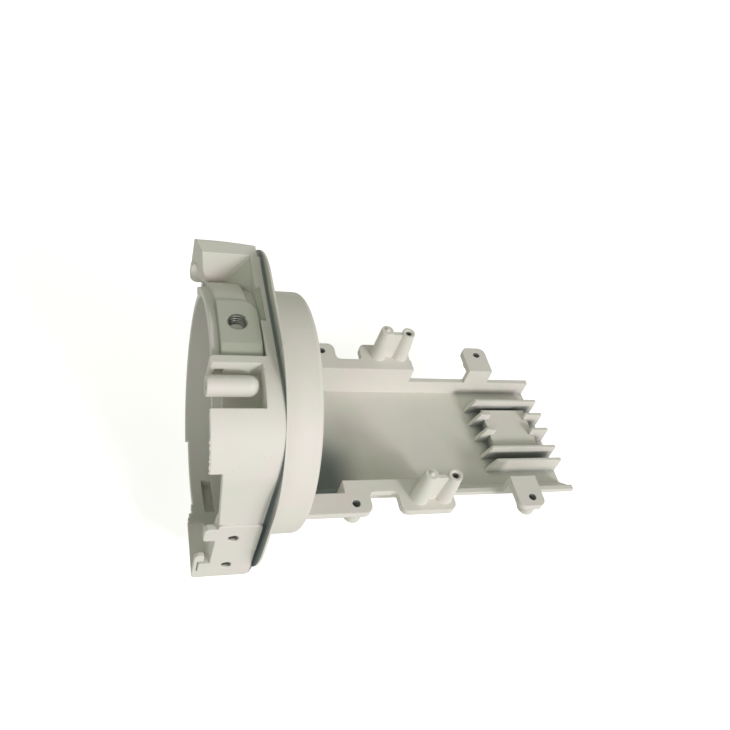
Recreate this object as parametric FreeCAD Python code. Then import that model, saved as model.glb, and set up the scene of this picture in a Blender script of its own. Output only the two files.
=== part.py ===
"""Die-cast housing: a flanged drum with a screw-column collar on one side and a
channel-shaped tray with cooling fins on the other, cast in one piece.

Units are millimetres. X runs along the drum's axis from its open mouth to the
tray's free end, Z is up and square to the tray, and the origin is on the drum's
axis in the back face of the flange.
"""

import os
from math import cos, radians, sin, sqrt

import FreeCAD, Part

V = FreeCAD.Vector

# Drum and lip
DRUM_R = 43.5
DRUM_END = 15.1
DRUM_EDGE_R = 1.6
END_WALL = 3.0
LIP_T = 0.8
LIP_HALF = 50.5
LIP_CORNER_R = 40.0
LIP_FAR_CORNER_R = 33.0

# Flange and collar, on one outline: a disc with four flats and one softer corner
FLANGE_T = 4.0
FLANGE_R = 55.3
FLAT_HALF = 45.6
NEAR_CORNER_R = 23.5
FLANGE_STEP = 1.7
COLLAR_T = 3.0
COLLAR_FRONT = -16.5
TOWER_FRONT = -22.5
TOWER_RAKE = 1.2
LOW_TOWER_FRONT = -20.6
WINDOW = ((-17.6, 27.0), (-15.0, -1.5))

# Square corner of the outline beside the far web, and its front tab
LOBE_HALF = 39.8
LOBE_TAPER = 2.6
LOBE_FROM = 30.0
LOBE_BACK = -1.5
LOBE_R = 2.0
LOBE_FRONT = -22.2
LOBE_FRONT_R = 1.3
TAB_FRONT = -22.4
TAB_INNER = 36.2
TAB_Z = (28.0, 36.0)
TAB_R = 3.0

# Square corner of the collar below the pad
LOW_CORNER_Z = -33.9
LOW_CORNER_INNER = -25.5
LOW_CORNER_T = 2.2
LOW_CORNER_R = 1.5

# Tube inside the collar
TUBE_R = 44.0
TUBE_T = 3.0
TUBE_FRONT = -20.0
TUBE_STEPS = (
    (48.0, 158.0, -18.3),
    (158.0, 200.0, -17.2),
    (200.0, 208.0, -18.0),
    (208.0, 212.5, -19.3),
    (219.0, 305.0, -15.0),
)
RIM_BAND = -17.5
RIM_STEP = 0.5
TUBE_SLOT = (-19.8, -17.0)
TUBE_SLOT_TOP = 38.4
CABLE_SLOT_X = (-13.2, -9.5)
CABLE_SLOT_ANGLES = (182.5, 207.0)

# Openings in the top of the collar and the rib between them
POCKET_FAR = 32.0
POCKET_NEAR = -33.0
RIB_Y = -16.35
RIB_T = 3.1
RIB_FRONT = -21.5
RIB_SLOT_Z = (39.4, 42.6)
RIB_SLOT_DEPTH = 1.6
WEB_T = 2.6
WEB_FOOT = 30.0
FAR_WEB_EDGE = ((-20.2, 45.6), (-19.0, 37.6), (-16.4, 30.2))
GUSSET_FRONT = -13.5
GUSSET_FOOT = 18.0
FLANGE_NOTCH_Y = (0.6, 16.8)
FLANGE_NOTCH_X = 1.7
FLANGE_NOTCH_Z = 1.0
FLANGE_NOTCH_SLOPE = 0.8

# Tapped boss on top: a flat on a raised floor
BOSS_RISE = 1.0
BOSS_FLOOR_RISE = 1.9
FLOOR_RISE = 1.3
FLOOR_END = -7.2
BOSS_X = (-17.4, -4.4)
BOSS_FAR = 10.4
BOSS_CORNER_R = 6.0
BOSS_NEAR_CORNER_R = 3.0
SET_SCREW_X = -11.4
SET_SCREW_R = 3.1
SET_SCREW_MOUTH_R = 3.35

# Screw columns of the collar: angle from +Z towards +Y, on one circle
COLUMN_CIRCLE_R = 48.4
COLUMN_R = 3.3
COLUMN_CORE_R = 1.25
COLUMN_CORE_DEPTH = 10.0
NEAR_COLUMN = (-29.7, -22.7, -6.8)
STEM_T = 3.4

# Mounting pad on the -Y flat
PAD_RISE = 0.4
PAD_X = (-15.3, -0.5)
PAD_Z = (-33.9, -0.6)
PAD_CORNER_R = 2.0
PAD_TAB = (-19.2, -9.8, -2.8)
PAD_TAB_T = 2.2
PAD_TAB_R = 1.2
PAD_HOLE_X = -9.5
PAD_HOLE_TOP = -9.0
PAD_HOLE_PITCH = 17.5
PAD_HOLE_R = 1.65
PAD_HOLE_MOUTH_R = 2.0
PAD_HOLE_DEPTH = 4.5
PAD_WINDOW_LOW = -24.7
BEAD_W = 1.7
BEAD_RISE = 0.4
BEAD_END = -17.0
TONGUE_X = (-20.6, -17.4)
TONGUE_TOP = -19.2
TONGUE_T = 1.5
TONGUE_NECK = 1.1
TONGUE_SLOT = 0.6
TONGUE_SLOT_LOW = -29.6
TONGUE_WAIST = -23.1

# Tray section; the outer sizes stand outside the inner wall
TRAY_END = 130.0
INNER_HALF = 26.75
WALL_T = 2.05
FLOOR_TOP = -20.1
FLOOR_T = 2.0
DECK_TOP = -5.6
DECK_T = 2.6
LOW_WALL_TOP = -13.2
BEVEL_START = -15.0
HIGH_WALL_END = 72.5
RAIL_OUT = 5.25
DECK_NOTCH_END = 30.7
DECK_FILLET_R = 2.0

# Ears of the tray
EAR_OUT = 13.65
EAR_CORNER_R = 3.0
NEAR_EAR_END = 39.8
COLUMN_EAR = (50.6, 72.0)
FAR_EAR = (98.3, 109.3)
EAR_HOLE_R = 1.5
EAR_HOLE_OUT = 9.65
NEAR_EAR_HOLE_X = 34.1
FAR_EAR_HOLE_X = 104.6
EAR_BOSS_R = 3.4
EAR_BOSS_DEPTH = 7.4

# Columns on the tray
POST_TOP = 8.2
POST_OUT = 8.0
TAPPED_POST_X = 67.85
NUB_POST_X = 58.3
POST_TOP_R = 2.65
POST_DRAFT = 0.8
POST_CORE_R = 1.25
POST_CORE_DEPTH = 10.0
POST_MOUTH_R = 1.7
NUB_R = 0.9
POST_WEB_T = 1.8
POST_WEB_TOP = 7.4

# Fins and the pad between them
FIN_TOP = -12.8
FIN_T = 1.3
FIN_DRAFT = 0.25
FIN_START = 100.6
FIN_RAKE = 3.0
FIN_Y = (16.6, 9.2, 1.2, -7.8, -14.3)
CHIP_PAD_TOP = -15.8
CHIP_PAD_X = (103.4, 124.0)
CHIP_PAD_Y = (-7.8, 13.6)
CHIP_GAP_X = (105.2, 122.0)
CHIP_PAD_CORNER = 5.0

FLANGE_FRONT = -FLANGE_T
PAD_FACE = FLAT_HALF + PAD_RISE
BORE_R = TUBE_R - TUBE_T
BOSS_TOP = TUBE_R + BOSS_RISE
OUTER_HALF = INNER_HALF + WALL_T
RAIL_HALF = INNER_HALF + RAIL_OUT
EAR_HALF = INNER_HALF + EAR_OUT
EAR_HOLE_HALF = INNER_HALF + EAR_HOLE_OUT
POST_HALF = INNER_HALF + POST_OUT
UNDERSIDE = FLOOR_TOP - FLOOR_T
REACH = 80.0


def rod_x(radius, x0, x1, y=0.0, z=0.0):
    """Cylinder along X between two stations."""
    return Part.makeCylinder(radius, x1 - x0, V(x0, y, z), V(1, 0, 0))


def block(x, y, z):
    """Box between pairs of limits on the three axes."""
    size = [high - low for low, high in (x, y, z)]
    return Part.makeBox(*size, V(x[0], y[0], z[0]))


def prism_x(points, x0, x1):
    """Straight prism along X over a polygon of (y, z) points."""
    loop = [V(x0, y, z) for y, z in points]
    face = Part.Face(Part.makePolygon(loop + loop[:1]))
    return face.extrude(V(x1 - x0, 0, 0))


def prism_y(points, y0, y1):
    """Straight prism along Y over a polygon of (x, z) points."""
    loop = [V(x, y0, z) for x, z in points]
    face = Part.Face(Part.makePolygon(loop + loop[:1]))
    return face.extrude(V(0, y1 - y0, 0))


def round_along(shape, axis, radius, chosen=lambda point: True):
    """Fillets the straight edges along an axis whose middle passes a test."""
    edges = []
    for edge in shape.Edges:
        first, last = edge.Vertexes[0].Point, edge.Vertexes[-1].Point
        run = last - first
        if run.Length > 0 and abs(run.normalize().dot(axis)) > 0.999:
            if chosen((first + last) * 0.5):
                edges.append(edge)
    return shape.makeFillet(radius, edges)


def mirrored(shape):
    """The shape and its mirror image in the plane Y = 0."""
    return [shape, shape.mirror(V(0, 0, 0), V(0, 1, 0))]


def on_circle(angle):
    """Y and Z of a point on the collar's screw circle."""
    turn = radians(angle)
    return COLUMN_CIRCLE_R * sin(turn), COLUMN_CIRCLE_R * cos(turn)


def sector(start, end, x0, x1, radius):
    """Wedge about X between two angles from +Z towards +Y."""
    steps = 6
    turns = [radians(start + (end - start) * i / steps) for i in range(steps + 1)]
    rim = [(radius * sin(t), radius * cos(t)) for t in turns]
    return prism_x([(0.0, 0.0)] + rim, x0, x1)


def drum():
    """Drum with a rounded far edge."""
    solid = rod_x(DRUM_R, FLANGE_FRONT, DRUM_END)
    rim = [e for e in solid.Edges if abs(e.BoundBox.XMin - DRUM_END) < 0.01 and e.BoundBox.XLength < 0.01]
    return solid.makeFillet(DRUM_EDGE_R, rim)


def lip():
    """Thin rounded-square lip behind the flange."""
    plate = block((0.0, LIP_T), (-LIP_HALF, LIP_HALF), (-LIP_HALF, LIP_HALF))
    far_top = round_along(plate, V(1, 0, 0), LIP_FAR_CORNER_R, lambda p: p.y > 0 and p.z > 0)
    return round_along(far_top, V(1, 0, 0), LIP_CORNER_R, lambda p: p.y < 0 or p.z < 0)


def tube():
    """Inner tube, its front edge stepped back round part of its rim."""
    solid = rod_x(TUBE_R, RIM_BAND, 0.0).fuse(rod_x(TUBE_R - RIM_STEP, TUBE_FRONT, RIM_BAND))
    for start, end, front in TUBE_STEPS:
        solid = solid.cut(sector(start, end, TUBE_FRONT - 1, front, REACH))
    return solid


def tube_slots():
    """Slot under the near column, and the cable slot low in the tube."""
    lower = block(TUBE_SLOT, (POCKET_NEAR + 0.6, RIB_Y - RIB_T / 2), (20.0, TUBE_SLOT_TOP))
    cable = sector(*CABLE_SLOT_ANGLES, *CABLE_SLOT_X, TUBE_R + 1.0)
    return [lower, cable]


def far_lobe(x0, x1, inset):
    """Square corner of the collar's outline beside the far web, or its hollow."""
    outer = LOBE_HALF - inset
    top = FLAT_HALF - inset
    lobe = block((x0, x1), (LOBE_FROM, outer), (LOBE_FROM, top))
    lobe = round_along(lobe, V(1, 0, 0), LOBE_R, lambda p: p.y > outer - 0.1 and p.z > top - 0.1)
    slope = LOBE_TAPER / (LOBE_BACK - TOWER_FRONT)
    taper = [
        V(TOWER_FRONT - 2, outer, 0),
        V(LOBE_BACK, outer, 0),
        V(LOBE_BACK, outer - slope * (LOBE_BACK - TOWER_FRONT), 0),
    ]
    wedge = Part.Face(Part.makePolygon(taper + taper[:1])).extrude(V(0, 0, REACH))
    return lobe.cut(wedge)


def outline(x0, x1, inset=0.0):
    """Solid over the collar's outline, inset for its hollow."""
    half = FLAT_HALF - inset
    square = block((x0, x1), (-half, half), (-half, half))
    square = round_along(square, V(1, 0, 0), NEAR_CORNER_R - inset, lambda p: p.y < 0 and p.z > 0)
    plate = square.common(rod_x(FLANGE_R - inset, x0, x1))
    return plate.fuse(far_lobe(x0, min(x1, LOBE_BACK), inset))


def collar():
    """Thin wall on the flange's outline, with a raked tower at its near top corner."""
    front = TOWER_FRONT - 1
    wall = outline(TOWER_FRONT, FLANGE_FRONT).cut(outline(front, FLANGE_FRONT, COLLAR_T))
    (x_high, z_high), (x_low, z_low) = WINDOW
    window = [(front, z_high), (x_high, z_high), (x_low, z_low), (x_low, z_low - 1), (front, z_low - 1)]
    rake = [(front, FLAT_HALF), (TOWER_FRONT, FLAT_HALF), (TOWER_FRONT + TOWER_RAKE, z_high), (front, z_high)]
    cuts = [
        prism_y(window, -REACH, 0.0),
        prism_y(rake, -REACH, 0.0),
        block((front, COLLAR_FRONT), (0.0, REACH), (-REACH, REACH)),
        block((front, COLLAR_FRONT), (-FLAT_HALF - 1, REACH), (-REACH, 0.0)),
        block((front, FLANGE_FRONT), (POCKET_NEAR, POCKET_FAR), (20.0, REACH)),
        block((front, PAD_X[0]), (-REACH, LOW_CORNER_INNER), (PAD_WINDOW_LOW, PAD_Z[1])),
    ]
    return wall.cut(cuts)


def far_tower():
    """Corner beside the far web, slanted in front, with a rounded tab at its outer edge."""
    (top_x, top), (mid_x, mid), (low_x, low) = FAR_WEB_EDGE
    inner = [(top_x, top), (mid_x, mid), (low_x, low), (FLANGE_FRONT, low), (FLANGE_FRONT, top)]
    outer = [(LOBE_FRONT, z) if x < FLANGE_FRONT else (x, z) for x, z in inner]
    wires = []
    for y, ring in ((POCKET_FAR, inner), (LOBE_HALF, outer)):
        loop = [V(x, y, z) for x, z in ring]
        wires.append(Part.makePolygon(loop + loop[:1]))
    corner = Part.makeLoft(wires, True, True).common(far_lobe(TOWER_FRONT, FLANGE_FRONT, 0.0))
    tab = block((TAB_FRONT, low_x), (TAB_INNER, LOBE_HALF - LOBE_TAPER / 2), TAB_Z)
    tab = round_along(tab, V(0, 1, 0), TAB_R, lambda p: p.x < TAB_FRONT + 0.1 and p.z < TAB_Z[0] + 0.1)
    return [corner, round_along(tab, V(0, 1, 0), LOBE_FRONT_R, lambda p: p.x < TAB_FRONT + 0.1 and p.z > TAB_Z[1] - 0.1)]


def low_corner():
    """Square corner of the collar below the pad, open to the mouth, and its thin tongue."""
    face = -PAD_FACE
    front = LOW_TOWER_FRONT
    shell = block((front, FLANGE_FRONT), (face, LOW_CORNER_INNER), (LOW_CORNER_Z, PAD_WINDOW_LOW))
    shell = round_along(shell, V(0, 1, 0), LOW_CORNER_R, lambda p: p.x < front + 0.1 and p.z < LOW_CORNER_Z + 0.1)
    hollow = block(
        (front - 1, PAD_X[0]),
        (face + TONGUE_T, LOW_CORNER_INNER + 1),
        (LOW_CORNER_Z + LOW_CORNER_T, PAD_WINDOW_LOW + 1),
    )
    upright = block(TONGUE_X, (face, face + TONGUE_T), (PAD_WINDOW_LOW - 1, TONGUE_TOP))
    radius = (TONGUE_X[1] - TONGUE_X[0]) / 2 - 0.05
    tongue = round_along(upright, V(0, 1, 0), radius, lambda p: p.z > TONGUE_TOP - 0.1)
    neck = front + TONGUE_NECK
    skin = (face - 1, face + TONGUE_T)
    waist = block((neck, TONGUE_X[1] + 1), skin, (PAD_WINDOW_LOW, TONGUE_WAIST))
    slot = block((neck, neck + TONGUE_SLOT), skin, (TONGUE_SLOT_LOW, TONGUE_WAIST))
    return [shell.cut(hollow).fuse(tongue).cut([waist, slot])]


def collar_webs():
    """Side walls of the top openings, the rib between them and the gusset beside the flange."""
    body = outline(TOWER_FRONT, FLANGE_FRONT)
    edge = list(FAR_WEB_EDGE)
    foot = edge[-1][1] - 10.0
    far = prism_y(edge + [(edge[-1][0], foot), (FLANGE_FRONT, foot), (FLANGE_FRONT, FLAT_HALF)],
                  POCKET_FAR, POCKET_FAR + WEB_T)
    near = block((TUBE_FRONT, FLANGE_FRONT), (POCKET_NEAR - WEB_T, POCKET_NEAR), (20.0, REACH))
    rib = block((RIB_FRONT, FLANGE_FRONT), (RIB_Y - RIB_T / 2, RIB_Y + RIB_T / 2), (WEB_FOOT, REACH))
    rib = round_along(rib, V(0, 0, 1), RIB_T * 0.45, lambda p: p.x < RIB_FRONT + 0.1)
    side = RIB_Y - RIB_T / 2
    rib = rib.cut(block(TUBE_SLOT, (side - 1, side + RIB_SLOT_DEPTH), RIB_SLOT_Z))
    step = block((FLANGE_FRONT - FLANGE_STEP, FLANGE_FRONT), (POCKET_NEAR - 1, RIB_Y), (WEB_FOOT, REACH))
    webs = [web.common(body) for web in (far, near, rib, step)]
    return webs + [gusset()]


def gusset():
    """Three-sided slope between the far web, the flange and the tube."""
    foot = sqrt(TUBE_R**2 - POCKET_FAR**2) - 1.0
    corner = V(FLANGE_FRONT + 0.5, POCKET_FAR + 0.5, foot)
    front = V(GUSSET_FRONT, POCKET_FAR + 0.5, foot)
    top = V(FLANGE_FRONT + 0.5, POCKET_FAR + 0.5, FLAT_HALF)
    side = V(FLANGE_FRONT + 0.5, GUSSET_FOOT, sqrt(TUBE_R**2 - GUSSET_FOOT**2) - 0.2)
    deep = V(FLANGE_FRONT + 0.5, GUSSET_FOOT, foot)
    corners = [corner, front, top, side, deep]
    loops = [(0, 1, 2), (1, 3, 2), (0, 2, 3, 4), (0, 4, 1), (4, 3, 1)]
    faces = []
    for loop in loops:
        ring = [corners[i] for i in loop]
        faces.append(Part.Face(Part.makePolygon(ring + ring[:1])))
    return Part.Solid(Part.Shell(faces))


def screw_column(place):
    """Round column along X with a domed inner end."""
    angle, front, back = place
    y, z = on_circle(angle)
    body = rod_x(COLUMN_R, front, back - COLUMN_R, y, z)
    return body.fuse(Part.makeSphere(COLUMN_R, V(back - COLUMN_R, y, z)))


def column_core(place):
    """Cored screw hole in a column's front end."""
    angle, front, _ = place
    y, z = on_circle(angle)
    return rod_x(COLUMN_CORE_R, front - 1, front + COLUMN_CORE_DEPTH, y, z)


def column_stem():
    """Narrow stem that carries the near column on the tube."""
    angle, front, back = NEAR_COLUMN
    stem = block((TUBE_FRONT, back - COLUMN_R), (-STEM_T / 2, STEM_T / 2), (BORE_R + 1.0, COLUMN_CIRCLE_R))
    return stem.rotate(V(0, 0, 0), V(1, 0, 0), -angle)


def top_boss():
    """Flat with a rounded far corner, and the raised floor that carries it."""
    low = BORE_R - 3.0
    near = RIB_Y + RIB_T / 2
    plate = block(BOSS_X, (near, BOSS_FAR), (low, BOSS_TOP))
    plate = round_along(plate, V(0, 0, 1), BOSS_CORNER_R, lambda p: p.x > BOSS_X[1] - 0.1 and p.y > BOSS_FAR - 0.1)
    plate = round_along(plate, V(0, 0, 1), BOSS_NEAR_CORNER_R, lambda p: p.x > BOSS_X[1] - 0.1 and p.y < near + 0.1)
    plate = plate.common(rod_x(TUBE_R + BOSS_FLOOR_RISE, BOSS_X[0] - 1, BOSS_X[1] + 1))
    floor = rod_x(TUBE_R + FLOOR_RISE, BOSS_X[0], FLOOR_END)
    floor = floor.common(block((BOSS_X[0], FLOOR_END), (RIB_Y, POCKET_FAR), (20.0, BOSS_TOP - BOSS_RISE / 3)))
    return [plate, floor]


def set_screw_hole():
    """Tapped hole through the boss and the tube wall, with a slightly opened mouth."""
    core = Part.makeCylinder(SET_SCREW_R, 20.0, V(SET_SCREW_X, 0, BOSS_TOP - 15.0), V(0, 0, 1))
    depth = SET_SCREW_MOUTH_R - SET_SCREW_R
    mouth = Part.makeCone(SET_SCREW_R, SET_SCREW_MOUTH_R + 1.0, depth + 1.0, V(SET_SCREW_X, 0, BOSS_TOP - depth), V(0, 0, 1))
    return core.fuse(mouth)


def side_pad():
    """Raised pad on the -Y flat with a short tab towards the mouth."""
    pad = block(PAD_X, (-PAD_FACE, -24.0), PAD_Z)
    pad = round_along(pad, V(0, 1, 0), PAD_CORNER_R)
    front, low, high = PAD_TAB
    tab = block((front, PAD_X[0] + PAD_CORNER_R), (-PAD_FACE, -PAD_FACE + PAD_TAB_T), (low, high))
    return pad.fuse(round_along(tab, V(0, 1, 0), PAD_TAB_R, lambda p: p.x < front + 0.1))


def pad_bead():
    """Low bead along the pad's top edge and down its far side."""
    (left, right), top = PAD_X, PAD_Z[1]
    inner = right - BEAD_W
    under = top - BEAD_W
    loop = [(left, top), (right, top), (right, BEAD_END), (inner, BEAD_END), (inner, under), (left, under)]
    crest = -PAD_FACE - BEAD_RISE
    bead = round_along(prism_y(loop, crest, -PAD_FACE), V(0, 1, 0), PAD_CORNER_R, lambda p: p.x > inner and p.z > under)
    rim = [e for e in bead.Edges if abs(e.BoundBox.YMin - crest) < 0.01 and e.BoundBox.YLength < 0.01]
    return bead.makeChamfer(BEAD_RISE * 0.9, rim)


def side_pad_holes():
    """Two tapped holes in the pad."""
    holes = []
    for step in range(2):
        place = V(PAD_HOLE_X, -PAD_FACE, PAD_HOLE_TOP - step * PAD_HOLE_PITCH)
        core = Part.makeCylinder(PAD_HOLE_R, PAD_HOLE_DEPTH, place, V(0, 1, 0))
        depth = PAD_HOLE_MOUTH_R - PAD_HOLE_R
        mouth = Part.makeCone(PAD_HOLE_MOUTH_R, PAD_HOLE_R, depth, place, V(0, 1, 0))
        holes += [core, mouth]
    return holes


def flange():
    """Flange with a shallow notch in its top front edge."""
    plate = outline(FLANGE_FRONT, 0.0)
    back = FLANGE_FRONT + FLANGE_NOTCH_X
    low = FLAT_HALF - FLANGE_NOTCH_Z
    slope = low - FLANGE_NOTCH_SLOPE
    notch = [(FLANGE_FRONT - 1, REACH), (back, REACH), (back, low), (FLANGE_FRONT, slope), (FLANGE_FRONT - 1, slope)]
    return plate.cut(prism_y(notch, *FLANGE_NOTCH_Y))


def head():
    """Drum, lip, flange and collar as one solid."""
    parts = [drum(), lip(), flange(), tube(), collar(), *far_tower(), *collar_webs(), *low_corner()]
    parts += [*top_boss(), side_pad(), pad_bead(), screw_column(NEAR_COLUMN), column_stem()]
    solid = parts[0].multiFuse(parts[1:])
    bore = rod_x(BORE_R, TOWER_FRONT - 5, DRUM_END - END_WALL)
    cuts = [bore, set_screw_hole(), column_core(NEAR_COLUMN), *side_pad_holes(), *tube_slots()]
    return solid.cut(cuts)


def channel():
    """Tray channel: high walls beside the drum, low ones beyond."""
    bevel = BEVEL_START - UNDERSIDE
    outline = [
        (-OUTER_HALF, DECK_TOP),
        (-OUTER_HALF, BEVEL_START),
        (-OUTER_HALF + bevel, UNDERSIDE),
        (OUTER_HALF, UNDERSIDE),
        (OUTER_HALF, DECK_TOP),
    ]
    inner_start = BEVEL_START + WALL_T * (sqrt(2) - 1)
    inner_bevel = inner_start - FLOOR_TOP
    hollow = [
        (-INNER_HALF, DECK_TOP + 1),
        (-INNER_HALF, inner_start),
        (-INNER_HALF + inner_bevel, FLOOR_TOP),
        (INNER_HALF, FLOOR_TOP),
        (INNER_HALF, DECK_TOP + 1),
    ]
    solid = prism_x(outline, DRUM_END - 1, TRAY_END)
    solid = solid.cut(prism_x(hollow, DRUM_END, TRAY_END + 1))
    above = (-REACH, REACH), (LOW_WALL_TOP, 0.0)
    return solid.cut(block((HIGH_WALL_END, TRAY_END + 1), *above))


def ear(x0, x1):
    """Deck plate out to the ears' edge, with rounded outer corners."""
    plate = block((x0, x1), (-EAR_HALF, -INNER_HALF), (DECK_TOP - DECK_T, DECK_TOP))

    def outer(point):
        return point.y < -EAR_HALF + 0.1 and point.x > DRUM_END + 1

    return round_along(plate, V(0, 0, 1), EAR_CORNER_R, outer)


def deck():
    """Near ear, rail and column ear in one plate, with rounded inner corners."""
    rail = block((NEAR_EAR_END - 1, HIGH_WALL_END), (-RAIL_HALF, -INNER_HALF), (DECK_TOP - DECK_T, DECK_TOP))
    plate = ear(DRUM_END - 1, NEAR_EAR_END).multiFuse([rail, ear(*COLUMN_EAR)]).removeSplitter()

    def inner(point):
        return abs(point.y + RAIL_HALF) < 0.1 and NEAR_EAR_END - 1 < point.x < COLUMN_EAR[0] + 1

    return round_along(plate, V(0, 0, 1), DECK_FILLET_R, inner)


def far_riser():
    """Stretch of wall that carries a far ear above the low wall."""
    return block(FAR_EAR, (-OUTER_HALF, -INNER_HALF), (LOW_WALL_TOP - 1.0, DECK_TOP))


def ear_boss(x):
    """Round boss under an ear's screw hole."""
    top = DECK_TOP - DECK_T / 2
    depth = EAR_BOSS_DEPTH - DECK_T / 2
    return Part.makeCylinder(EAR_BOSS_R, depth, V(x, -EAR_HOLE_HALF, top - depth), V(0, 0, 1))


def ear_hole(x):
    """Screw hole through an ear and its boss."""
    return Part.makeCylinder(EAR_HOLE_R, 20.0, V(x, -EAR_HOLE_HALF, DECK_TOP - 15.0), V(0, 0, 1))


def post(x):
    """Tapered column on a column ear."""
    height = POST_TOP - DECK_TOP + 1.0
    return Part.makeCone(
        POST_TOP_R + POST_DRAFT, POST_TOP_R, height, V(x, -POST_HALF, DECK_TOP - 1.0), V(0, 0, 1)
    )


def nub():
    """Small dome and nub on the locating column."""
    dome = Part.makeSphere(POST_TOP_R, V(NUB_POST_X, -POST_HALF, POST_TOP))
    dome = dome.common(block((0.0, TRAY_END), (-REACH, REACH), (0.0, POST_TOP + 1.0)))
    return dome.fuse(Part.makeSphere(NUB_R, V(NUB_POST_X, -POST_HALF, POST_TOP + 1.0)))


def post_web():
    """Flat web between the two columns."""
    half = POST_WEB_T / 2
    return block(
        (NUB_POST_X, TAPPED_POST_X), (-POST_HALF - half, -POST_HALF + half), (DECK_TOP - 1.0, POST_WEB_TOP)
    )


def post_hole():
    """Tapped hole down a column, with a countersunk mouth."""
    place = V(TAPPED_POST_X, -POST_HALF, POST_TOP - POST_CORE_DEPTH)
    core = Part.makeCylinder(POST_CORE_R, POST_CORE_DEPTH + 1.0, place, V(0, 0, 1))
    depth = POST_MOUTH_R - POST_CORE_R
    rim = V(TAPPED_POST_X, -POST_HALF, POST_TOP - depth)
    return core.fuse(Part.makeCone(POST_CORE_R, POST_MOUTH_R, depth, rim, V(0, 0, 1)))


def deck_notch():
    """Gap between the near ear and the channel, beside the drum."""
    return block((DRUM_END, DECK_NOTCH_END), (-RAIL_HALF, -INNER_HALF + 1), (LOW_WALL_TOP, 0.0))


def fin(y):
    """Tapered fin along X with a raked front end."""
    foot = FIN_T / 2 + FIN_DRAFT
    top = FIN_T / 2
    low = FLOOR_TOP - 0.5
    section = [(y - foot, low), (y + foot, low), (y + top, FIN_TOP), (y - top, FIN_TOP)]
    body = prism_x(section, FIN_START - FIN_RAKE, TRAY_END)
    side = [
        (FIN_START - FIN_RAKE, low),
        (TRAY_END, low),
        (TRAY_END, FIN_TOP),
        (FIN_START, FIN_TOP),
    ]
    return body.common(prism_y(side, y - foot - 1, y + foot + 1))


def fins():
    """Row of fins, the inner ones cut down for the flat pad."""
    gap = block(CHIP_GAP_X, (CHIP_PAD_Y[0], CHIP_PAD_Y[1]), (CHIP_PAD_TOP, 0.0))
    shapes = []
    for y in FIN_Y:
        shape = fin(y)
        if CHIP_PAD_Y[0] < y < CHIP_PAD_Y[1]:
            shape = shape.cut(gap)
        shapes.append(shape)
    pad = block(CHIP_PAD_X, CHIP_PAD_Y, (FLOOR_TOP - 0.5, CHIP_PAD_TOP))
    shapes.append(round_along(pad, V(0, 0, 1), CHIP_PAD_CORNER, far_corner))
    return shapes


def far_corner(point):
    """Whether a point is on the pad's far corner towards -Y."""
    return point.x > CHIP_PAD_X[1] - 0.1 and point.y < CHIP_PAD_Y[0] + 0.1


def tray():
    """Channel, decks, ears, columns and fins as one solid."""
    added = []
    cuts = []
    side = [
        deck(),
        ear(*FAR_EAR),
        far_riser(),
        ear_boss(NEAR_EAR_HOLE_X),
        ear_boss(FAR_EAR_HOLE_X),
        post(TAPPED_POST_X),
        post(NUB_POST_X),
        nub(),
        post_web(),
    ]
    holes = [deck_notch(), ear_hole(NEAR_EAR_HOLE_X), ear_hole(FAR_EAR_HOLE_X), post_hole()]
    for shape in side:
        added += mirrored(shape)
    for shape in holes:
        cuts += mirrored(shape)
    return channel().multiFuse(added + fins()).cut(cuts)


def housing():
    """The whole casting."""
    solid = head().fuse(tray()).removeSplitter()
    return solid


def main():
    """Writes the casting's STEP file."""
    os.makedirs("parts", exist_ok=True)
    shape = housing()
    if len(shape.Solids) != 1:
        raise ValueError(f"the casting came apart into {len(shape.Solids)} solids")
    shape.Solids[0].exportStep("parts/housing.step")


main()
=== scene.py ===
"""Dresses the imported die-cast housing for a studio picture.

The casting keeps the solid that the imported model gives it. This script gives that solid its painted
finish, adds the screw threads and the torn flash that the solid leaves out, and sets up the camera,
the lights and the backdrop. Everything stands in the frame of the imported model, with the housing's
axis along X, the mouth at low X and the -Y side near the camera. Lengths are in metres, apart from
those that a class says are in millimetres.
"""

import logging
import math
import random
from dataclasses import dataclass, field
from enum import Enum

import bmesh
import bpy
from mathutils import Matrix, Vector


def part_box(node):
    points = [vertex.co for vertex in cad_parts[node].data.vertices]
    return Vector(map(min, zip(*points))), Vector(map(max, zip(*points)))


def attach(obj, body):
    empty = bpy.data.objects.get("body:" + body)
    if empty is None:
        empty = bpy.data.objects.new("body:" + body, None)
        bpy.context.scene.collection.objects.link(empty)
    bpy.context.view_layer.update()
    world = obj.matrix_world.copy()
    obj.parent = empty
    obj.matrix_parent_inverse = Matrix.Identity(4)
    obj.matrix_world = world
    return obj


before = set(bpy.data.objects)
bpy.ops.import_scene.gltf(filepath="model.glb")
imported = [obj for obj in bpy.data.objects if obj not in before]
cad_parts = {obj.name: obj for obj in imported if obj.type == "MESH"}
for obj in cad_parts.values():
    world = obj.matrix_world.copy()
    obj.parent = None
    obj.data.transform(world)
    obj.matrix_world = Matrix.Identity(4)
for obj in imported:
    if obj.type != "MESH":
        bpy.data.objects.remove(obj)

Pair = tuple[float, float]
Point = tuple[float, float, float]
Colour = tuple[float, float, float, float]
Output = bpy.types.NodeSocket

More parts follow.
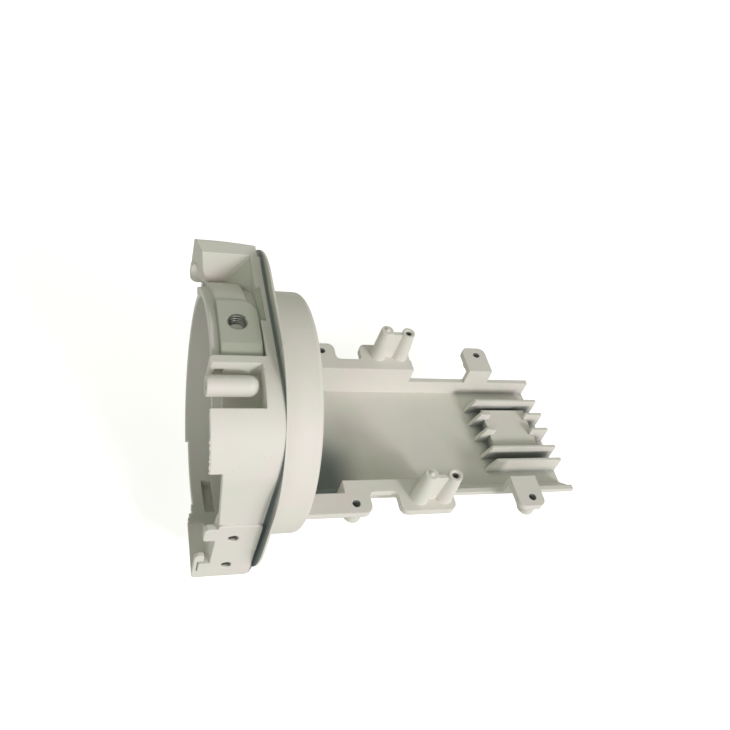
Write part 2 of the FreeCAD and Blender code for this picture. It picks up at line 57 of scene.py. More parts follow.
MM = 0.001
NOISE_MEAN = 0.5
LOG = logging.getLogger("housing")
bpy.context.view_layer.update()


class Socket:
    """Wraps a node's output socket so that Python expressions add Math nodes."""

    def __init__(self, tree: "ShaderTree", output: Output) -> None:
        """Keeps the material's nodes and the socket."""
        self.tree = tree
        self.output = output

    def _math(self, operation: str, first: "Term", second: "Term", clamp: bool = False) -> "Socket":
        """Adds one Math node on two terms.

        Args:
            operation: the Math node's operation.
            first: its first term.
            second: its second term.
            clamp: whether the result is kept between 0 and 1.

        Returns:
            The node's result.
        """
        settings = {"operation": operation, "use_clamp": clamp}
        node = self.tree.add("ShaderNodeMath", settings, {0: first, 1: second})
        return Socket(self.tree, node.outputs[0])

    def __add__(self, other: "Term") -> "Socket":
        """Sum."""
        return self._math("ADD", self, other)

    def __radd__(self, other: "Term") -> "Socket":
        """Sum with a number on the left."""
        return self._math("ADD", other, self)

    def __sub__(self, other: "Term") -> "Socket":
        """Difference."""
        return self._math("SUBTRACT", self, other)

    def __rsub__(self, other: "Term") -> "Socket":
        """Difference with a number on the left."""
        return self._math("SUBTRACT", other, self)

    def __mul__(self, other: "Term") -> "Socket":
        """Product."""
        return self._math("MULTIPLY", self, other)

    def __rmul__(self, other: "Term") -> "Socket":
        """Product with a number on the left."""
        return self._math("MULTIPLY", other, self)

    def clamp(self) -> "Socket":
        """The value kept between 0 and 1."""
        return self._math("ADD", self, 0.0, clamp=True)

    def band(self, low: float, high: float) -> "Socket":
        """A smooth step from 0 at the low value to 1 at the high one.

        Args:
            low: value that gives 0.
            high: value that gives 1.

        Returns:
            The stepped value.
        """
        settings = {"interpolation_type": "SMOOTHSTEP"}
        inputs = {"Value": self, "From Min": low, "From Max": high}
        node = self.tree.add("ShaderNodeMapRange", settings, inputs)
        return Socket(self.tree, node.outputs["Result"])


Term = Socket | float


@dataclass(frozen=True)
class Pattern:
    """One noise: the size of its blotches, its finer layers, their weight, and a shift to set it apart."""

    size: float
    detail: float
    roughness: float
    shift: float


class ShaderTree:
    """Builds one material's nodes."""

    def __init__(self, name: str) -> None:
        """Starts an empty material.

        Args:
            name: the material's name.
        """
        self.material = bpy.data.materials.new(name)
        self.material.use_nodes = True
        self.tree = self.material.node_tree
        self.tree.nodes.clear()
        self.place = self.add("ShaderNodeTexCoord").outputs["Object"]

    def add(self, kind: str, settings: dict | None = None, inputs: dict | None = None) -> bpy.types.Node:
        """Adds a node.

        Args:
            kind: the node's type name.
            settings: properties of the node, set first.
            inputs: values, output sockets or Socket objects by input name or number.

        Returns:
            The new node.
        """
        node = self.tree.nodes.new(kind)
        for key, value in (settings or {}).items():
            setattr(node, key, value)
        for key, value in (inputs or {}).items():
            target = node.inputs[key]
            if isinstance(value, Socket):
                self.tree.links.new(value.output, target)
            elif isinstance(value, Output):
                self.tree.links.new(value, target)
            else:
                target.default_value = value
        return node

    def read(self, output: Output) -> Socket:
        """Wraps a node's output for use in expressions."""
        return Socket(self, output)

    def split(self, vector: Output) -> tuple[Socket, ...]:
        """Splits a vector into its x, y and z."""
        node = self.add("ShaderNodeSeparateXYZ", inputs={"Vector": vector})
        return tuple(self.read(node.outputs[axis]) for axis in "XYZ")

    def mix(self, factor: Socket, first: object, second: object) -> Output:
        """Mixes two colours, from all of the first at factor 0 to all of the second at factor 1."""
        node = self.add("ShaderNodeMix", {"data_type": "RGBA"}, {0: factor, 6: first, 7: second})
        return node.outputs[2]

    def noise(self, pattern: Pattern) -> Socket:
        """Adds noise in the piece's own space.

        Args:
            pattern: the noise's settings.

        Returns:
            The noise, about NOISE_MEAN on average.
        """
        shift = (pattern.shift, pattern.shift, pattern.shift)
        moved = self.add("ShaderNodeVectorMath", {"operation": "ADD"}, {0: self.place, 1: shift})
        inputs = {
            "Vector": moved.outputs[0],
            "Scale": 1.0 / pattern.size,
            "Detail": pattern.detail,
            "Roughness": pattern.roughness,
        }
        return self.read(self.add("ShaderNodeTexNoise", inputs=inputs).outputs["Fac"])

    def finish(self, shader: Output) -> bpy.types.Material:
        """Connects the shader to the output and gives the finished material."""
        self.add("ShaderNodeOutputMaterial", inputs={"Surface": shader})
        return self.material


class Surface:
    """What the masks read at a point of the coat: its place, the way it faces and how hidden it is."""

    def __init__(self, tree: ShaderTree, reach: float, samples: int) -> None:
        """Adds the nodes that the masks read.

        Args:
            tree: the material's nodes.
            reach: how far off another surface still hides this one.
            samples: rays of that test.
        """
        self.x, self.y, self.z = tree.split(tree.place)
        self.normal = tree.add("ShaderNodeNewGeometry").outputs["Normal"]
        self.facing_x, self.facing_y, self.facing_z = tree.split(self.normal)
        occlusion = tree.add("ShaderNodeAmbientOcclusion", {"samples": samples}, {"Distance": reach})
        self.depth = 1.0 - tree.read(occlusion.outputs["AO"])

    def outside(self, ring: Pair) -> Socket:
        """Masks what lies outside a soft ring about the axis, given by its two radii in millimetres."""
        inner, outer = (radius * MM for radius in ring)
        return (self.y * self.y + self.z * self.z).band(inner**2, outer**2)


@dataclass(frozen=True)
class Span:
    """A stretch along one axis, in millimetres. Its mask rises over one pair and falls over the other."""

    rise: Pair | None = None
    fall: Pair | None = None

    def ends(self, value: Socket) -> list[Socket]:
        """Gives a mask for each end that the stretch has.

        Args:
            value: the place along the axis.

        Returns:
            No mask, one or two, to be multiplied.
        """
        masks = []
        if self.rise:
            masks.append(value.band(self.rise[0] * MM, self.rise[1] * MM))
        if self.fall:
            masks.append(1.0 - value.band(self.fall[0] * MM, self.fall[1] * MM))
        return masks


@dataclass(frozen=True)
class Zone:
    """A box with soft sides, open where a stretch has no end, and how strongly it is masked."""

    x: Span = Span()
    y: Span = Span()
    z: Span = Span()
    strength: float = 1.0

    def mask(self, at: Surface) -> Socket:
        """Masks the box: its strength inside, 0 outside."""
        ends = self.x.ends(at.x) + self.y.ends(at.y) + self.z.ends(at.z)
        return math.prod(ends, start=self.strength)


@dataclass(frozen=True)
class EarHoleShade:
    """Painted shade in the holes of the four small ears, in millimetres, which stand in pairs at the same
    two places.

    A hole's mask fades from its core, a share of the squared radius, to its radius along the housing,
    and over the soft width across it and above the ears' top face.
    """

    along: Pair = (34.1, 104.6)
    out: float = 36.4
    radius: float = 1.62
    soft: float = 0.1
    core: float = 0.8
    face: float = -5.75
    strength: float = 0.7

    def mask(self, at: Surface) -> Socket:
        """Masks the painted shade on the walls of the holes.

        Args:
            at: the point of the surface.

        Returns:
            The painted shade's strength on the holes' walls, 0 elsewhere.
        """
        soft, reach = self.soft * MM, (self.radius * MM) ** 2
        low, high = (self.out - self.radius) * MM, (self.out + self.radius) * MM
        side = at.y * at.y
        across = side.band(low**2, (low + soft) ** 2) * (1.0 - side.band((high - soft) ** 2, high**2))
        near, far = (at.x - place * MM for place in self.along)
        beside = (near * near).band(self.core * reach, reach) * (far * far).band(self.core * reach, reach)
        below = Zone(z=Span(fall=(self.face, self.face + self.soft)), strength=self.strength)
        return (1.0 - beside) * across * below.mask(at)


@dataclass(frozen=True)
class CastingPaint:
    """Matt off-white coat over a die casting, with a fine grain and soft edges.

    The coat is blotched warm and cool and specked. Its edges are painted paler, as rubbed wear and as a
    painted highlight. Painted shade darkens gaps, hollows and faces that soft light alone leaves too
    pale, and a painted shadow lies in one corner of the tray. Rings and zones are in millimetres. Two
    zones also ask which way the coat faces: to_mouth is how far its normal leans towards the mouth, and
    to_inside how far it leans up and away from the near side, as the tray's inside does.
    """

    colour: Colour = (0.715, 0.722, 0.650, 1.0)
    blotches: Pattern = Pattern(14 * MM, 3.0, 0.55, 0.0)
    warm: Colour = (0.740, 0.702, 0.665, 1.0)
    warm_band: Pair = (0.35, 0.7)
    tints: Pattern = Pattern(8.4 * MM, 3.0, 0.6, 3.1)
    cool: Colour = (0.680, 0.712, 0.620, 1.0)
    cool_band: Pair = (0.45, 0.75)
    cool_share: float = 0.7

    specks: Pattern = Pattern(1.1 * MM, 1.0, 0.5, 7.7)
    speck: Colour = (0.30, 0.27, 0.21, 1.0)
    speck_band: Pair = (0.76, 0.80)
    speck_share: float = 0.55
    clusters: Pattern = Pattern(6 * MM, 1.0, 0.5, 1.3)
    cluster_band: Pair = (0.52, 0.6)

    edge_radius: float = 0.55 * MM
    edge_samples: int = 6
    # edge colour: rubbed wear and a painted highlight along the sharp edges
    worn_highlight: Colour = (0.80, 0.80, 0.74, 1.0)
    worn_highlight_band: Pair = (0.01, 0.16)
    worn_highlight_share: float = 0.6

    roughness: float = 0.55
    rough_blotch: float = 0.12
    rough_grain: float = 0.1
    specular: float = 0.35
    grain: Pattern = Pattern(0.45 * MM, 2.0, 0.6, 0.4)
    waves: Pattern = Pattern(3.5 * MM, 2.0, 0.5, 5.0)
    wave_share: float = 1.2
    relief_height: float = 0.05 * MM
    relief_strength: float = 0.5

    # painted soft shade on the set screw's flat, the flange's step and the pocket's back wall
    soft_shade_colour: Colour = (0.41, 0.45, 0.355, 1.0)
    screw_flat: Zone = Zone(
        x=Span(rise=(-18.0, -17.5), fall=(-4.35, -4.25)),
        y=Span(rise=(-14.7, -14.4), fall=(8.0, 13.0)),
        z=Span(rise=(41.2, 41.7)),
        strength=0.75,
    )
    flange_step: Zone = Zone(
        x=Span(rise=(-4.1, -4.0), fall=(-2.35, -2.25)),
        y=Span(rise=(0.5, 0.7), fall=(16.7, 16.9)),
        z=Span(rise=(43.6, 43.7), fall=(45.25, 45.35)),
        strength=0.7,
    )
    pocket_wall: Zone = Zone(
        x=Span(rise=(-18.0, -17.0)),
        y=Span(rise=(-14.8, -14.5), fall=(31.6, 31.9)),
        z=Span(rise=(28.0, 32.0)),
        strength=0.6,
    )
    to_mouth: Pair = (0.3, 0.7)

    # painted deep shade: the dark colour mixed into the lip's groove, the fins' feet, the ear holes, a
    # tray corner and the bore's end
    deep_shade_colour: Colour = (0.10, 0.13, 0.13, 1.0)
    shade_reach: float = 7 * MM
    shade_samples: int = 8
    # painted shade on the thin lip behind the flange
    lip: Zone = Zone(x=Span(rise=(-0.95, -0.83), fall=(0.0, 0.05)))
    lip_ring: Pair = (42.0, 43.242)
    lip_depth: Pair = (0.10, 0.45)
    lip_share: float = 0.9
    lip_low_side: Zone = Zone(y=Span(fall=(-44.0, -32.0)), z=Span(fall=(4.0, 24.0)), strength=0.6)
    # painted shade at the fins' feet
    fin_feet: Zone = Zone(x=Span(rise=(93.0, 99.0)), z=Span(fall=(-15.9, -14.9)), strength=0.8)
    fin_depth: Pair = (0.2, 0.75)
    # painted shade on the ear holes' walls
    ear_hole_shade: EarHoleShade = EarHoleShade()
    # painted shadow in the tray's corner by the drum and the near wall
    tray_corner: Zone = Zone(
        x=Span(rise=(15.15, 15.55), fall=(31.0, 48.0)),
        y=Span(rise=(-27.5, -27.2), fall=(-14.0, 18.0)),
        z=Span(fall=(-8.0, -6.0)),
        strength=0.9,
    )
    to_inside: Pair = (0.1, 0.4)
    # painted shade deep in the bore, darker towards its closed end
    bore_end: Zone = Zone(x=Span(rise=(-3.0, 8.0), fall=(12.2, 12.6)), strength=0.6)
    bore_ring: Pair = (41.0, 41.3)

    def material(self) -> bpy.types.Material:
        """Builds the coat's material.

        Returns:
            The finished material.
        """
        tree = ShaderTree("casting_paint")
        at = Surface(tree, self.shade_reach, self.shade_samples)
        bevel = tree.add("ShaderNodeBevel", {"samples": self.edge_samples}, {"Radius": self.edge_radius})
        rounded = bevel.outputs["Normal"]
        blotch = tree.noise(self.blotches)
        grain = tree.noise(self.grain)
        uneven = (blotch - NOISE_MEAN) * self.rough_blotch + (grain - NOISE_MEAN) * self.rough_grain
        shader = tree.add(
            "ShaderNodeBsdfPrincipled",
            inputs={
                "Base Color": self.tone(tree, at, blotch, rounded),
                "Roughness": self.roughness + uneven,
                "Normal": self.relief(tree, grain, rounded),
                "Specular IOR Level": self.specular,
            },
        )
        return tree.finish(shader.outputs["BSDF"])

    def tone(self, tree: ShaderTree, at: Surface, blotch: Socket, rounded: Output) -> Output:
        """Mixes the coat's colour.

        Args:
            tree: the material's nodes.
            at: the point of the surface.
            blotch: the wide noise that the roughness follows too.
            rounded: the normal with softened edges.

        Returns:
            The colour.
        """
        cluster = tree.noise(self.clusters).band(*self.cluster_band)
        specks = tree.noise(self.specks).band(*self.speck_band) * cluster
        base = tree.mix(blotch.band(*self.warm_band), self.colour, self.warm)
        base = tree.mix(tree.noise(self.tints).band(*self.cool_band) * self.cool_share, base, self.cool)
        base = tree.mix(specks * self.speck_share, base, self.speck)
        # edges painted paler, as wear and as a painted highlight
        base = tree.mix(self.worn_highlit_edges(tree, at, rounded) * self.worn_highlight_share, base, self.worn_highlight)
        # painted soft shade
        base = tree.mix(self.soft_shade(at), base, self.soft_shade_colour)
        # painted deep shade over gaps, hollows and a shadowed corner
        return tree.mix(self.deep_shade(at), base, self.deep_shade_colour)

    def relief(self, tree: ShaderTree, grain: Socket, rounded: Output) -> Output:
        """Roughens the surface with the coat's grain and wider waves.

        Args:
            tree: the material's nodes.
            grain: the fine noise.
            rounded: the normal with softened edges.

        Returns:
            The roughened normal.
        """
        inputs = {
            "Strength": self.relief_strength,
            "Distance": self.relief_height,
            "Height": grain + tree.noise(self.waves) * self.wave_share,
            "Normal": rounded,
        }
        return tree.add("ShaderNodeBump", inputs=inputs).outputs["Normal"]

    def worn_highlit_edges(self, tree: ShaderTree, at: Surface, rounded: Output) -> Socket:
        """Masks the sharp edges, painted paler as wear from handling and as a painted highlight."""
        along = tree.add("ShaderNodeVectorMath", {"operation": "DOT_PRODUCT"}, {0: at.normal, 1: rounded})
        return (1.0 - tree.read(along.outputs["Value"])).band(*self.worn_highlight_band)

    def soft_shade(self, at: Surface) -> Socket:
        """Masks the painted soft shade: the set screw's flat, the flange's step and the pocket's back
        wall.
        """
        wall = self.pocket_wall.mask(at) * (0.0 - at.facing_x).band(*self.to_mouth)
        return (self.screw_flat.mask(at) + self.flange_step.mask(at) + wall).clamp()

    def deep_shade(self, at: Surface) -> Socket:
        """Masks the deepest painted shade: on the lip behind the flange, at the fins' feet, in the ear
        holes, as a shadow in a corner and deep in the bore.

        Args:
            at: the point of the surface.

        Returns:
            1 where the painted shade is darkest, 0 on open surfaces.
        """
        fins = self.fin_feet.mask(at) * at.depth.band(*self.fin_depth)
        corner = self.tray_corner.mask(at) * (at.facing_y + at.facing_z).band(*self.to_inside)
        bore = self.bore_end.mask(at) * (1.0 - at.outside(self.bore_ring))
        return (self.lip_shade(at) + fins + self.ear_hole_shade.mask(at) + corner + bore).clamp()

    def lip_shade(self, at: Surface) -> Socket:
        """Masks the painted shade on the thin lip behind the flange: where it lies deep, and all of it on
        the low near side.

        Args:
            at: the point of the surface.

        Returns:
            The mask.
        """
        lip = self.lip.mask(at) * at.outside(self.lip_ring)
        deep = at.depth.band(*self.lip_depth) * self.lip_share
        return lip * (deep + self.lip_low_side.mask(at))


@dataclass(frozen=True)
class ShadedThread:
    """Freshly cut metal of a tapped hole, with faint streaks, its colour darkened as painted shade inside
    the hole.
    """

    # dark base colour: painted shade inside the hole
    colour: Colour = (0.20, 0.20, 0.18, 1.0)
    streak_colour: Colour = (0.144, 0.144, 0.1296, 1.0)
    streaks: Pattern = Pattern(0.5 * MM, 2.0, 0.6, 2.0)
    streak_band: Pair = (0.3, 0.7)
    roughness: float = 0.42
    rough_streak: float = 0.2

    def material(self) -> bpy.types.Material:
        """Builds the cut metal's material.

        Returns:
            The finished material.
        """
        tree = ShaderTree("cut_thread_shaded")
        streak = tree.noise(self.streaks)
        shader = tree.add(
            "ShaderNodeBsdfPrincipled",
            inputs={
                "Base Color": tree.mix(streak.band(*self.streak_band), self.colour, self.streak_colour),
                "Metallic": 1.0,
                "Roughness": self.roughness + (streak - NOISE_MEAN) * self.rough_streak,
            },
        )
        return tree.finish(shader.outputs["BSDF"])


@dataclass(frozen=True)
class Paper:
    """Plain white paper that the camera sees as the studio's floor and walls."""

    colour: Colour = (0.93, 0.93, 0.93, 1.0)
    glow_colour: Colour = (1.0, 1.0, 1.0, 1.0)
    glow: float = 0.62

    def material(self) -> bpy.types.Material:
        """Builds the paper's material, which glows to the camera, and in what is shiny or clear.

        Returns:
            The finished material.
        """
        tree = ShaderTree("paper")
        path = tree.add("ShaderNodeLightPath").outputs
        seen = tree.read(path["Is Camera Ray"]) + tree.read(path["Is Glossy Ray"])
        seen = (seen + tree.read(path["Is Transmission Ray"])).clamp()
        matt = tree.add("ShaderNodeBsdfDiffuse", inputs={"Color": self.colour})
        dark = tree.add("ShaderNodeEmission", inputs={"Strength": 0.0})
        glow = tree.add("ShaderNodeEmission", inputs={"Color": self.glow_colour, "Strength": self.glow})
        lit = tree.add("ShaderNodeMixShader", inputs={0: seen, 1: dark.outputs[0], 2: glow.outputs[0]})
        both = tree.add("ShaderNodeAddShader", inputs={0: matt.outputs[0], 1: lit.outputs[0]})
        return tree.finish(both.outputs[0])


@dataclass
class Casting:
    """The housing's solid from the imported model, with its paint."""

    node: str = "housing"

    def dress(self, paint: bpy.types.Material) -> bpy.types.Object:
        """Gives the solid its paint.

        Args:
            paint: the coat's material.

        Returns:
            The solid's object.
        """
        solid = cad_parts[self.node]
        for slot in solid.material_slots:
            slot.material = paint
        if not solid.material_slots:
            solid.data.materials.append(paint)
        return solid


@dataclass
class Flash:
    """Torn flash along the near tower's front edge, a ragged strip that swells and shrinks.

    At each step up the edge the strip is a rectangle. It lies between the skin's depth and the flash's
    thickness inside the tower's outer wall, and reaches from its root in the tower to its torn tip. The
    least, swell and chance shares of the tip's reach add up to 1, and the swell's waves drift, so that
    they don't repeat.
    """

    wall_x: float = -18.5 * MM
    low: float = 27.15 * MM
    high: float = 37.5 * MM
    steps: int = 40
    thickness: float = 0.5 * MM
    skin: float = 0.02 * MM
    root: float = 0.25 * MM
    reach: float = 0.5 * MM
    least_share: float = 0.12
    swell_share: float = 0.55
    chance_share: float = 0.33
    swell_pace: float = 0.9
    drift: float = 1.3
    drift_pace: float = 0.37
    outside: float = 70 * MM
    seed: int = 11

    def edge(self, solid: bpy.types.Object, height: float) -> Pair:
        """Finds the tower's front edge at a height.

        Args:
            solid: the casting.
            height: the height to look at.

        Returns:
            The edge's x and the outer wall's y.
        """
        beside = Vector((self.wall_x, -self.outside, height))
        _, wall, _, _ = solid.ray_cast(beside, Vector((0.0, 1.0, 0.0)))
        ahead = Vector((-self.outside, wall.y + self.thickness / 2, height))
        _, front, _, _ = solid.ray_cast(ahead, Vector((1.0, 0.0, 0.0)))
        return front.x, wall.y

    def section(self, solid: bpy.types.Object, step: int, chance: random.Random) -> list[Point]:
        """Works out the strip's four corners at one step.

        Args:
            solid: the casting that the strip grows from.
            step: the step's number, from 0 at the low end.
            chance: the source of the raggedness.

        Returns:
            The corners, in order round the strip.
        """
        height = self.low + (self.high - self.low) * step / self.steps
        edge, wall = self.edge(solid, height)
        drift = self.drift * math.sin(step * self.drift_pace)
        swell = (1.0 + math.sin(step * self.swell_pace + drift)) / 2
        tear = self.least_share + self.swell_share * swell + self.chance_share * chance.random()
        near, far = wall + self.skin, wall + self.thickness
        tip, back = edge - self.reach * tear, edge + self.root
        return [(back, near, height), (back, far, height), (tip, far, height), (tip, near, height)]

    def build(self, solid: bpy.types.Object, paint: bpy.types.Material) -> bpy.types.Object:
        """Builds the ragged strip.

        Args:
            solid: the casting that it grows from.
            paint: the coat's material.

        Returns:
            The strip, riding on the casting.
        """
        chance = random.Random(self.seed)
        points = []
        for step in range(self.steps + 1):
            points += self.section(solid, step, chance)
        last = 4 * self.steps
        faces = [(0, 1, 2, 3), (last + 3, last + 2, last + 1, last)]
        for first in range(0, last, 4):
            for corner in range(4):
                after = (corner + 1) % 4
                faces.append((first + corner, first + 4 + corner, first + 4 + after, first + after))
        mesh = bpy.data.meshes.new("flash")
        mesh.from_pydata(points, [], faces)
        shape = bmesh.new()
        shape.from_mesh(mesh)
        bmesh.ops.recalc_face_normals(shape, faces=shape.faces)
        shape.to_mesh(mesh)
        shape.free()
        mesh.materials.append(paint)
        strip = bpy.data.objects.new("flash_tower", mesh)
        bpy.context.scene.collection.objects.link(strip)
        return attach(strip, "root")


@dataclass(frozen=True)
class TappedHole:
    """One tapped hole in millimetres: its mouth, the way it opens, and its thread's sizes."""

    name: str
    mouth: Point
    out: Point
    root_r: float
    pitch: float
    depth: float


@dataclass
class Threads:
    """Screw threads of the tapped holes, one ridge wound down each.

    A ridge has its steps to a turn and its sides round it, and its radius is a share of the pitch.
    """

    ridge_steps: int = 36
    ridge_sides: int = 6
    ridge_share: float = 0.62
    holes: tuple[TappedHole, ...] = (
        TappedHole("set_screw", (-11.4, 0.0, 44.7), (0, 0, 1), 3.1, 1.0, 3.4),
        TappedHole("post_near", (67.85, -34.75, 7.6), (0, 0, 1), 1.25, 0.5, 7.0),
        TappedHole("post_far", (67.85, 34.75, 7.6), (0, 0, 1), 1.25, 0.5, 7.0),
        TappedHole("pad_high", (-9.5, -45.5, -9.0), (0, -1, 0), 1.65, 0.7, 3.6),
        TappedHole("pad_low", (-9.5, -45.5, -26.5), (0, -1, 0), 1.65, 0.7, 3.6),
        TappedHole("column", (-22.3, -23.98, 42.04), (-1, 0, 0), 1.25, 0.5, 6.5),
    )

    def tree(self) -> bpy.types.NodeTree:
        """Builds the node tree that winds one ridge down a hole.

        Returns:
            A Geometry Nodes tree with the hole's sizes as inputs.
        """
        tree = bpy.data.node_groups.new("thread_ridge", "GeometryNodeTree")
        sockets = tree.interface
        sockets.new_socket("Geometry", in_out="OUTPUT", socket_type="NodeSocketGeometry")
        for name in ("Root Radius", "Pitch", "Depth", "Ridge"):
            sockets.new_socket(name, in_out="INPUT", socket_type="NodeSocketFloat")
        sockets.new_socket("Finish", in_out="INPUT", socket_type="NodeSocketMaterial")
        nodes, links = tree.nodes, tree.links
        given = nodes.new("NodeGroupInput")
        result = nodes.new("NodeGroupOutput")
        turns = nodes.new("ShaderNodeMath")
        turns.operation = "DIVIDE"
        links.new(given.outputs["Depth"], turns.inputs[0])
        links.new(given.outputs["Pitch"], turns.inputs[1])
        spiral = nodes.new("GeometryNodeCurveSpiral")
        spiral.inputs["Resolution"].default_value = self.ridge_steps
        links.new(turns.outputs[0], spiral.inputs["Rotations"])
        links.new(given.outputs["Root Radius"], spiral.inputs["Start Radius"])
        links.new(given.outputs["Root Radius"], spiral.inputs["End Radius"])
        links.new(given.outputs["Depth"], spiral.inputs["Height"])
        profile = nodes.new("GeometryNodeCurvePrimitiveCircle")
        profile.inputs["Resolution"].default_value = self.ridge_sides
        links.new(given.outputs["Ridge"], profile.inputs["Radius"])
        sweep = nodes.new("GeometryNodeCurveToMesh")
        links.new(spiral.outputs[0], sweep.inputs["Curve"])
        links.new(profile.outputs[0], sweep.inputs["Profile Curve"])
        sweep.inputs["Fill Caps"].default_value = True
        smooth = nodes.new("GeometryNodeSetShadeSmooth")
        links.new(sweep.outputs[0], smooth.inputs["Geometry"])
        real = nodes.new("GeometryNodeRealizeInstances")
        links.new(smooth.outputs[0], real.inputs[0])
        paint = nodes.new("GeometryNodeSetMaterial")
        links.new(real.outputs[0], paint.inputs["Geometry"])
        links.new(given.outputs["Finish"], paint.inputs["Material"])
        links.new(paint.outputs[0], result.inputs[0])
        return tree

    def ridge(
        self, hole: TappedHole, tree: bpy.types.NodeTree, finish: bpy.types.Material
    ) -> bpy.types.Object:
        """Winds the ridge of one hole and bakes it to a mesh.

        Args:
            hole: the hole to thread.
            tree: the node tree from tree().
            finish: the metal's material.

        Returns:
            A mesh object at the origin.
        """
        carrier = bpy.data.objects.new(hole.name, bpy.data.meshes.new(hole.name))
        bpy.context.scene.collection.objects.link(carrier)
        modifier = carrier.modifiers.new("thread", "NODES")
        modifier.node_group = tree
        values = {
            "Root Radius": hole.root_r * MM,
            "Pitch": hole.pitch * MM,
            "Depth": hole.depth * MM,
            "Ridge": hole.pitch * self.ridge_share * MM,
            "Finish": finish,
        }
        for item in tree.interface.items_tree:
            if item.in_out == "INPUT":
                modifier[item.identifier] = values[item.name]
        graph = bpy.context.evaluated_depsgraph_get()
        mesh = bpy.data.meshes.new_from_object(carrier.evaluated_get(graph))
        carrier.modifiers.clear()
        bpy.data.objects.remove(carrier)
        out = Vector(hole.out)
        turn = out.to_track_quat("Z", "Y").to_matrix().to_4x4()
        start = Vector(hole.mouth) * MM - out * hole.depth * MM
        mesh.transform(Matrix.Translation(start) @ turn)
        return bpy.data.objects.new("thread_" + hole.name, mesh)

    def build(self, finish: bpy.types.Material) -> list[bpy.types.Object]:
        """Threads every hole.

        Args:
            finish: the metal's material.

        Returns:
            The ridges, riding on the casting.
        """
        tree = self.tree()
        ridges = []
        for hole in self.holes:
            ridge = self.ridge(hole, tree, finish)
            bpy.context.scene.collection.objects.link(ridge)
            ridges.append(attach(ridge, "root"))
        return ridges


class Lamp(Enum):
    """The studio's lamps, by where they stand as the camera sees them."""

    KEY = "key"
    LEFT = "left"
    RIGHT = "right"


@dataclass(frozen=True)
class LampPlan:
    """One round lamp: the way to it from the object, its power in watts and its width in metres."""

    way: Point
    power: float
    width: float


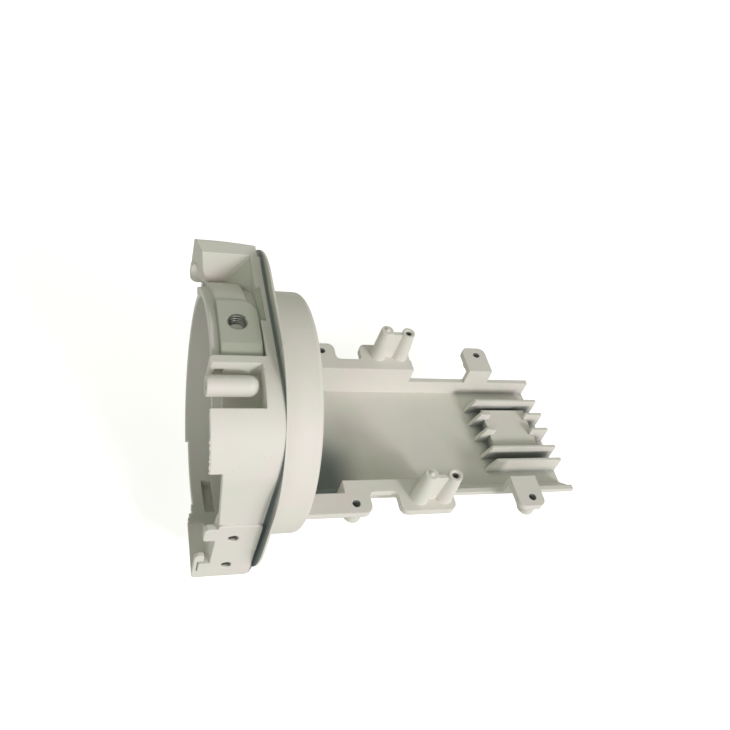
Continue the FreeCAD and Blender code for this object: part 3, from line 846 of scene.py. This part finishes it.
@dataclass
class Studio:
    """Camera, lamps, world and backdrop.

    The camera stands and turns as the photograph's did: its place is in millimetres, and right, down
    and forward are its axes. The lamps aim at the centre, which is in millimetres too. Each ring of
    the backdrop's sheet has a radius and a height above the floor.
    """

    lens: float = 38.37
    sensor: float = 36.0
    nearest: float = 0.01
    camera_at: Point = (-54.04, -173.36, 217.38)
    right: Point = (0.94358, -0.20376, 0.26104)
    down: Point = (0.02310, -0.74588, -0.66568)
    forward: Point = (0.33034, 0.63415, -0.69909)
    lamps: dict[Lamp, LampPlan] = field(
        default_factory=lambda: {
            Lamp.KEY: LampPlan((0.38, -0.84, 0.46), 14.2, 0.4),
            Lamp.LEFT: LampPlan((-0.40, -0.82, 0.40), 5.8, 1.0),
            Lamp.RIGHT: LampPlan((0.65, -0.65, 0.42), 5.6, 0.8),
        }
    )
    centre: Point = (50.0, 0.0, 0.0)
    lamp_distance: float = 1.8
    lamp_colour: Point = (1.0, 0.945, 0.985)
    ambient: Colour = (0.358, 0.370, 0.318, 1.0)
    sheet_rings: tuple[Pair, ...] = (
        (0.02, 0.0),
        (1.6, 0.0),
        (2.1, 0.12),
        (2.4, 0.45),
        (2.5, 1.0),
        (2.5, 3.0),
    )
    sheet_steps: int = 64

    def camera(self) -> None:
        """Creates the camera at the photograph's place and turn."""
        data = bpy.data.cameras.new("camera")
        data.lens = self.lens
        data.sensor_width = self.sensor
        data.clip_start = self.nearest
        body = bpy.data.objects.new("camera", data)
        bpy.context.scene.collection.objects.link(body)
        columns = (Vector(self.right), -Vector(self.down), -Vector(self.forward))
        turn = Matrix(columns).transposed().to_4x4()
        body.matrix_world = Matrix.Translation(Vector(self.camera_at) * MM) @ turn
        bpy.context.scene.camera = body

    def light(self) -> None:
        """Adds the lamps."""
        for name, plan in self.lamps.items():
            data = bpy.data.lights.new(name.value, "AREA")
            data.shape = "DISK"
            data.size = plan.width
            data.energy = plan.power
            data.color = self.lamp_colour
            lamp = bpy.data.objects.new(name.value, data)
            bpy.context.scene.collection.objects.link(lamp)
            toward = Vector(plan.way).normalized()
            lamp.location = Vector(self.centre) * MM + toward * self.lamp_distance
            lamp.rotation_euler = toward.to_track_quat("Z", "Y").to_euler()

    def world(self) -> None:
        """Sets the even light that comes from all round."""
        world = bpy.data.worlds.new("studio")
        world.use_nodes = True
        bpy.context.scene.world = world
        background = world.node_tree.nodes["Background"]
        background.inputs["Color"].default_value = self.ambient
        background.inputs["Strength"].default_value = 1.0

    def backdrop(self, paper: bpy.types.Material) -> None:
        """Lays a round paper sheet under the object's lowest point and up around it.

        The sheet takes the object's shadow, and throws no light or shadow on it.

        Args:
            paper: the sheet's material.
        """
        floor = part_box("housing")[0].z
        steps = self.sheet_steps
        points = []
        for radius, height in self.sheet_rings:
            for step in range(steps):
                turn = 2 * math.pi * step / steps
                points.append((radius * math.cos(turn), radius * math.sin(turn), floor + height))
        faces = [tuple(range(steps))]
        for start in range(0, len(points) - steps, steps):
            for step in range(steps):
                after = (step + 1) % steps
                faces.append((start + step, start + steps + step, start + steps + after, start + after))
        mesh = bpy.data.meshes.new("floor")
        mesh.from_pydata(points, [], faces)
        mesh.materials.append(paper)
        for face in mesh.polygons:
            face.use_smooth = True
        sheet = bpy.data.objects.new("floor", mesh)
        bpy.context.scene.collection.objects.link(sheet)
        sheet.visible_diffuse = False
        sheet.visible_shadow = False

    def build(self, paper: bpy.types.Material) -> None:
        """Builds the whole studio around the object.

        Args:
            paper: the backdrop's material.
        """
        self.camera()
        self.light()
        self.world()
        self.backdrop(paper)
        bpy.context.scene.view_settings.view_transform = "Standard"


def main() -> None:
    """Builds the pieces in order and reports each one."""
    logging.basicConfig(level=logging.INFO, format="%(name)s: %(message)s")
    paint = CastingPaint().material()
    solid = Casting().dress(paint)
    LOG.info("casting: %d faces", len(solid.data.polygons))
    strip = Flash().build(solid, paint)
    LOG.info("%s: %d faces", strip.name, len(strip.data.polygons))
    for ridge in Threads().build(ShadedThread().material()):
        LOG.info("%s: %d faces", ridge.name, len(ridge.data.polygons))
    Studio().build(Paper().material())
    LOG.info("studio built")


if __name__ == "__main__":
    main()
